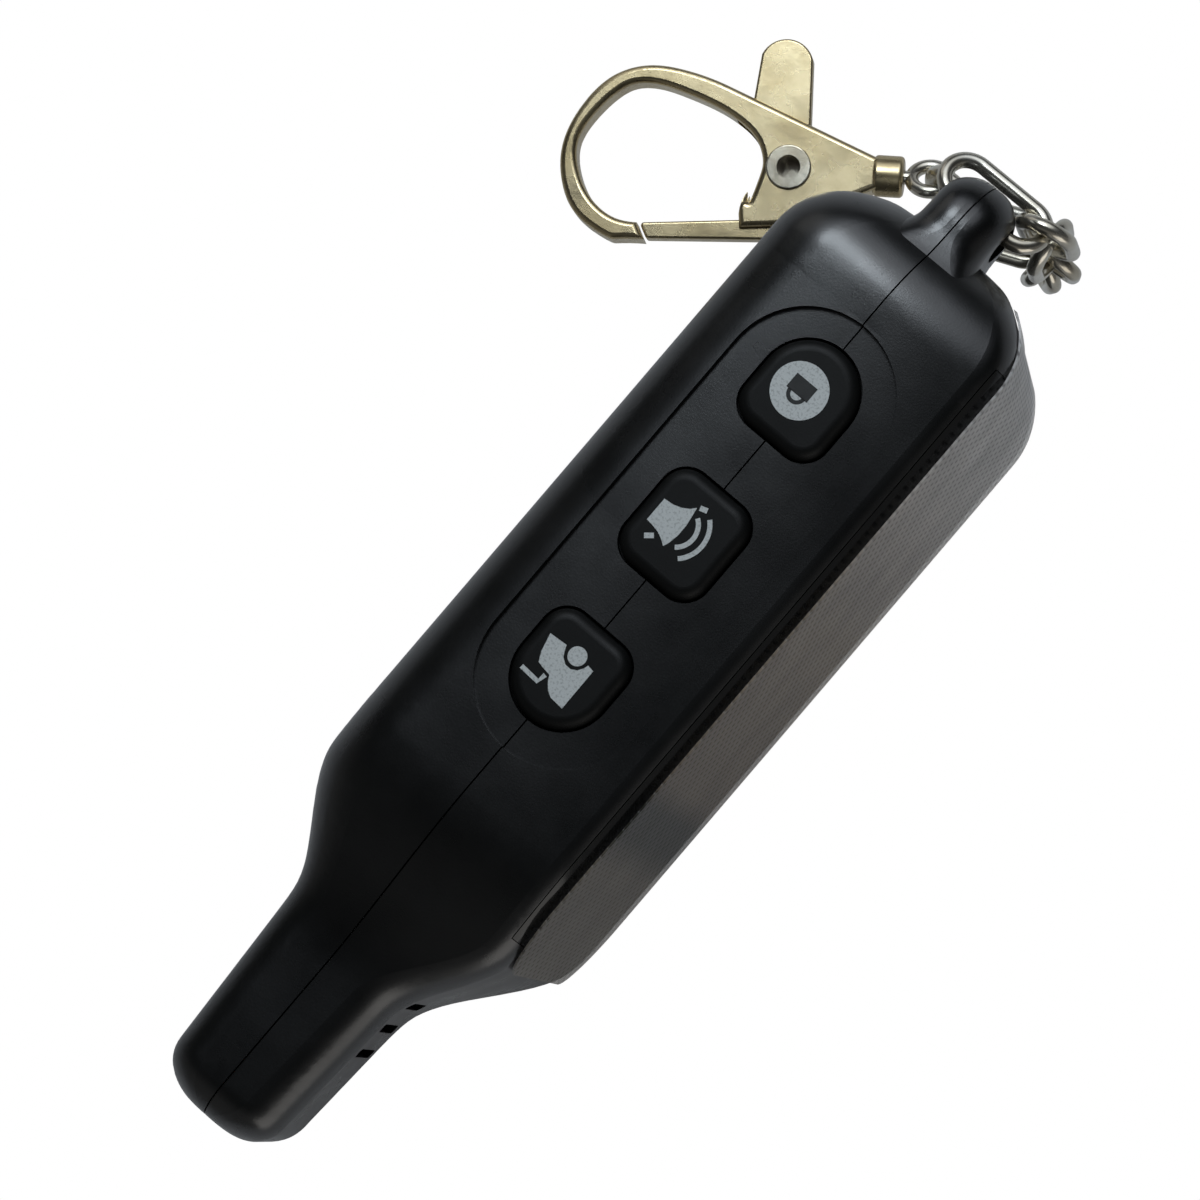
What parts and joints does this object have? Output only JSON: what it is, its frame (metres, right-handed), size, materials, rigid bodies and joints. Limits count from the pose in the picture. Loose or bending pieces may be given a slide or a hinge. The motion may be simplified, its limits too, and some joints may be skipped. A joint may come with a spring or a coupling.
{
  "type": "car key fob",
  "caption": "Car alarm fob with three keys on its narrow side, a display face, an antenna stub and a chain with a sprung clasp.",
  "frame": {"origin": "centre of the flat rest face on the narrow side opposite the keys", "axes": "+Z towards the keys, +X towards the display face, +Y towards the lug and chain"},
  "size_m": [0.0449, 0.0925, 0.0382],
  "materials": {
    "casing_plastic": "fine matte",
    "panel_plastic": "gloss",
    "window_plastic": "clear",
    "film_plastic": "embossed clear film",
    "key_plastic": "satin",
    "switch_plastic": "matte",
    "plunger_plastic": "satin",
    "silicone": "matte",
    "board_laminate": "solder mask",
    "backlight_plastic": "gloss",
    "display_glass": "clear",
    "tinned_steel": "bright",
    "battery_sleeve": "gloss",
    "copper_wire": "bright",
    "screw_steel": "blackened",
    "nickel": "bright",
    "spring_steel": "bright"
  },
  "bodies": {
    "fob": {"front_shell": "casing_plastic", "back_shell": "casing_plastic", "front_panel": "panel_plastic", "display_window": "window_plastic", "protective_film": "film_plastic", "keypad_membrane": "silicone", "circuit_board": "board_laminate", "display_backlight": "backlight_plastic", "display_glass": "display_glass", "display_frame": "plunger_plastic", "zebra_strips": "silicone", "processor": "switch_plastic", "radio_can": "tinned_steel", "crystal": "tinned_steel", "capacitors": "tinned_steel", "buzzer": "switch_plastic", "battery": "battery_sleeve", "battery_spring": "tinned_steel", "spring_contact": "tinned_steel", "pole_contact": "tinned_steel", "antenna_coil": "copper_wire", "vibration_motor": "tinned_steel", "casing_screws": "screw_steel", "switch_lock": "switch_plastic", "switch_horn": "switch_plastic", "switch_trunk": "switch_plastic"},
    "cover": {"battery_cover": "casing_plastic"},
    "lock_key": {"key_lock": "key_plastic", "plunger_lock": "plunger_plastic"},
    "horn_key": {"key_horn": "key_plastic", "plunger_horn": "plunger_plastic"},
    "trunk_key": {"key_trunk": "key_plastic", "plunger_trunk": "plunger_plastic"},
    "shaker": {"motor_weight": "tinned_steel"},
    "link_1": {"chain_link_1": "nickel"},
    "link_2": {"chain_link_2": "nickel"},
    "link_3": {"chain_link_3": "nickel"},
    "link_4": {"chain_link_4": "nickel"},
    "link_5": {"chain_link_5": "nickel"},
    "link_6": {"chain_link_6": "nickel"},
    "link_7": {"chain_link_7": "nickel"},
    "link_8": {"chain_link_8": "nickel"},
    "eye": {"swivel_eye": "nickel"},
    "hook": {"clasp_hook": "nickel", "clasp_rivet": "nickel", "clasp_spring": "spring_steel"},
    "trigger": {"clasp_trigger": "nickel"}
  },
  "joints": [
    {"name": "lock_press", "type": "slide", "parent": "fob", "child": "lock_key", "axis": [0, 0, -1], "range_m": [0, 0.0005], "stiffness_N_per_m": 300, "springref_m": -0.0005},
    {"name": "horn_press", "type": "slide", "parent": "fob", "child": "horn_key", "axis": [0, 0, -1], "range_m": [0, 0.0005], "stiffness_N_per_m": 300, "springref_m": -0.0005},
    {"name": "trunk_press", "type": "slide", "parent": "fob", "child": "trunk_key", "axis": [0, 0, -1], "range_m": [0, 0.0005], "stiffness_N_per_m": 300, "springref_m": -0.0005},
    {"name": "cover_release", "type": "slide", "parent": "fob", "child": "cover", "axis": [-1, 0, 0], "range_m": [0, 0.004]},
    {"name": "shaker_spin", "type": "hinge", "parent": "fob", "child": "shaker", "pos_m": [-0.005, 0.002, 0.0194], "axis": [0, 1, 0], "continuous": true},
    {"name": "link_1_swing", "type": "hinge", "parent": "fob", "child": "link_1", "pos_m": [0, 0.04127, 0.03066], "axis": [1, 0, 0], "range_deg": [0, 20]},
    {"name": "link_2_swing", "type": "hinge", "parent": "link_1", "child": "link_2", "pos_m": [0.00439, 0.04364, 0.02945], "axis": [-0.2446, 0.9694, -0.021], "range_deg": [-5, 15]},
    {"name": "link_3_swing", "type": "hinge", "parent": "link_2", "child": "link_3", "pos_m": [0.00462, 0.04359, 0.02436], "axis": [0.9976, 0.0698, 0], "range_deg": [0, 15]},
    {"name": "link_4_swing", "type": "hinge", "parent": "link_3", "child": "link_4", "pos_m": [0.00461, 0.0437, 0.01911], "axis": [-0.0442, 0.9975, 0.0545], "range_deg": [-5, 20]},
    {"name": "link_5_swing", "type": "hinge", "parent": "link_4", "child": "link_5", "pos_m": [0.00394, 0.04395, 0.01392], "axis": [0.9728, -0.1207, -0.1976], "range_deg": [0, 15]},
    {"name": "link_6_swing", "type": "hinge", "parent": "link_5", "child": "link_6", "pos_m": [0.00291, 0.04412, 0.00877], "axis": [0.4167, 0.907, -0.0611], "range_deg": [-5, 20]},
    {"name": "link_7_swing", "type": "hinge", "parent": "link_6", "child": "link_7", "pos_m": [0.00063, 0.04491, 0.00486], "axis": [0.2876, -0.2185, -0.9325], "range_deg": [0, 15]},
    {"name": "link_8_swing", "type": "hinge", "parent": "link_7", "child": "link_8", "pos_m": [-0.00419, 0.04423, 0.00351], "axis": [0.1501, 0.9206, -0.3606], "range_deg": [-5, 20]},
    {"name": "eye_swing", "type": "hinge", "parent": "link_8", "child": "eye", "pos_m": [-0.00916, 0.04438, 0.00182], "axis": [-0.357, 0.4914, 0.7944], "range_deg": [-10, 12]},
    {"name": "swivel_turn", "type": "hinge", "parent": "eye", "child": "hook", "pos_m": [-0.012, 0.0424, 0.00169], "axis": [-0.809, -0.5878, 0], "continuous": true},
    {"name": "trigger_pull", "type": "hinge", "parent": "hook", "child": "trigger", "pos_m": [-0.01836, 0.03778, 0.00169], "axis": [0, 0, -1], "range_deg": [0, 18], "stiffness_Nm_per_rad": 0.01, "springref_deg": -20.05}
  ]
}
